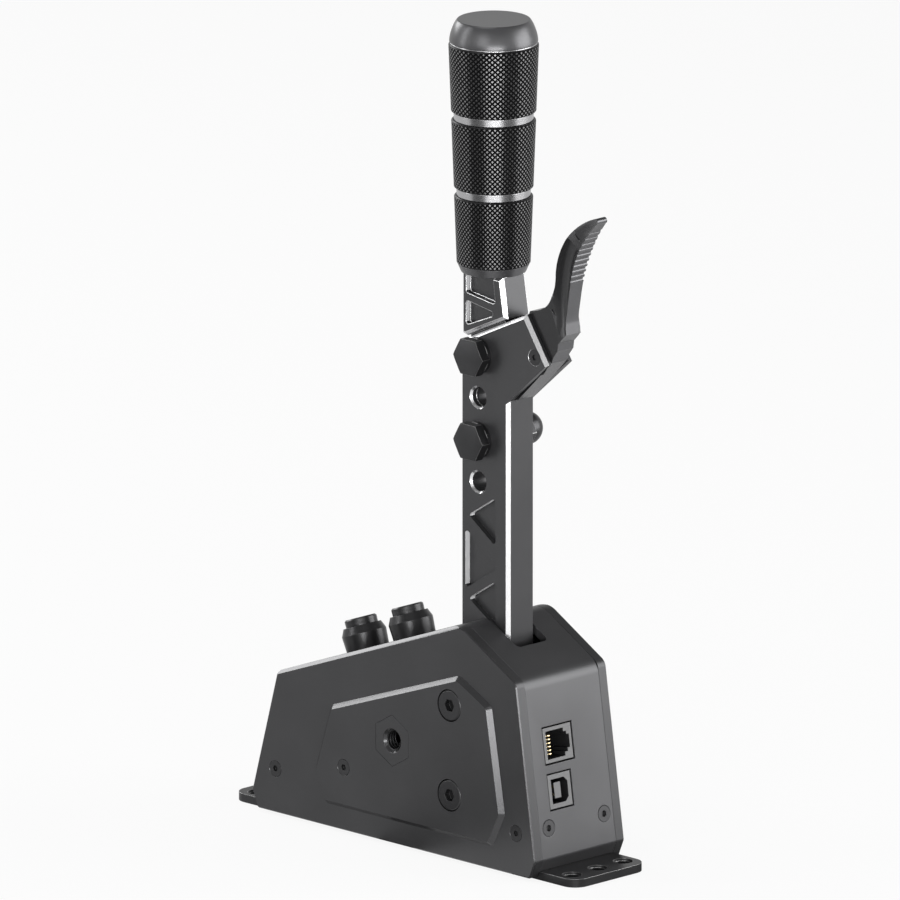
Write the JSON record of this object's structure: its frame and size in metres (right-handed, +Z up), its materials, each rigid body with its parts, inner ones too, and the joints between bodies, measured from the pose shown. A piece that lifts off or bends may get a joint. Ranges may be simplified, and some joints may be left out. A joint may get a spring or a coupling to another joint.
{
  "type": "sequential gear shifter",
  "caption": "Sequential racing-simulator gear shifter: sprung lever with knurled grip and finger trigger on a low wedge housing with push buttons and sockets.",
  "frame": {"origin": "on the surface the base stands on, at the middle of the base plate", "axes": "+Z up, +X towards the front wall with the sockets, +Y to the side of the cap nuts"},
  "size_m": [0.168, 0.0472, 0.295],
  "materials": {
    "black_anodised": "satin black anodised",
    "plain_steel": "plain",
    "blackened_steel": "blackened",
    "machined_aluminium": "machined",
    "black_plastic": "matt",
    "circuit_board": "solder mask",
    "plated_shell": "plated"
  },
  "bodies": {
    "base": {"base_plate": "black_anodised", "side_plate_right": "black_anodised", "side_plate_left": "black_anodised", "housing_cover": "black_anodised", "tie_bars": "plain_steel", "side_plate_screws": "blackened_steel", "cover_screws": "blackened_steel", "side_mount_inserts": "black_anodised", "pivot_shaft": "plain_steel", "pivot_spacers": "plain_steel", "pivot_screws": "blackened_steel", "stop_bar": "plain_steel", "stop_bar_screws": "blackened_steel", "spring_bracket": "plain_steel", "bracket_screws": "blackened_steel", "lower_return_spring": "plain_steel", "upper_return_spring": "plain_steel", "main_board": "circuit_board", "board_spacers": "plain_steel", "usb_socket": "plated_shell", "link_socket": "black_plastic", "sensor_board": "circuit_board", "button_bezels": "black_anodised", "button_switches": "black_plastic", "button_nuts": "plain_steel"},
    "lever": {"lever_arm": "black_anodised", "pivot_bearings": "plain_steel", "sensor_magnet": "plated_shell", "upper_arm": "black_anodised", "clamp_bolts": "blackened_steel", "clamp_washers": "blackened_steel", "clamp_cap_nuts": "blackened_steel", "grip_core": "machined_aluminium", "grip_collar": "black_anodised", "grip_rings": "machined_aluminium", "grip_sleeve_lower": "black_anodised", "grip_sleeve_middle": "black_anodised", "grip_sleeve_upper": "black_anodised", "grip_cap": "black_anodised", "trigger_pin": "plain_steel", "trigger_switch": "black_plastic"},
    "trigger": {"trigger": "black_anodised"},
    "button_rear": {"button_cap_rear": "black_anodised"},
    "button_front": {"button_cap_front": "black_anodised"}
  },
  "joints": [
    {"name": "lever_shift", "type": "hinge", "parent": "base", "child": "lever", "pos_m": [0.0284, 0, 0.024], "axis": [0, 1, 0], "range_deg": [-5, 5], "stiffness_Nm_per_rad": 40, "deforming": ["lower_return_spring", "upper_return_spring"]},
    {"name": "trigger_pull", "type": "hinge", "parent": "lever", "child": "trigger", "pos_m": [0.0528, 0, 0.181], "axis": [0, -1, 0], "range_deg": [0, 8], "stiffness_Nm_per_rad": 0.5},
    {"name": "button_press_rear", "type": "slide", "parent": "base", "child": "button_rear", "axis": [0.3477, 0, -0.9376], "range_m": [0, 0.0015], "stiffness_N_per_m": 400},
    {"name": "button_press_front", "type": "slide", "parent": "base", "child": "button_front", "axis": [0.3477, 0, -0.9376], "range_m": [0, 0.0015], "stiffness_N_per_m": 400}
  ]
}
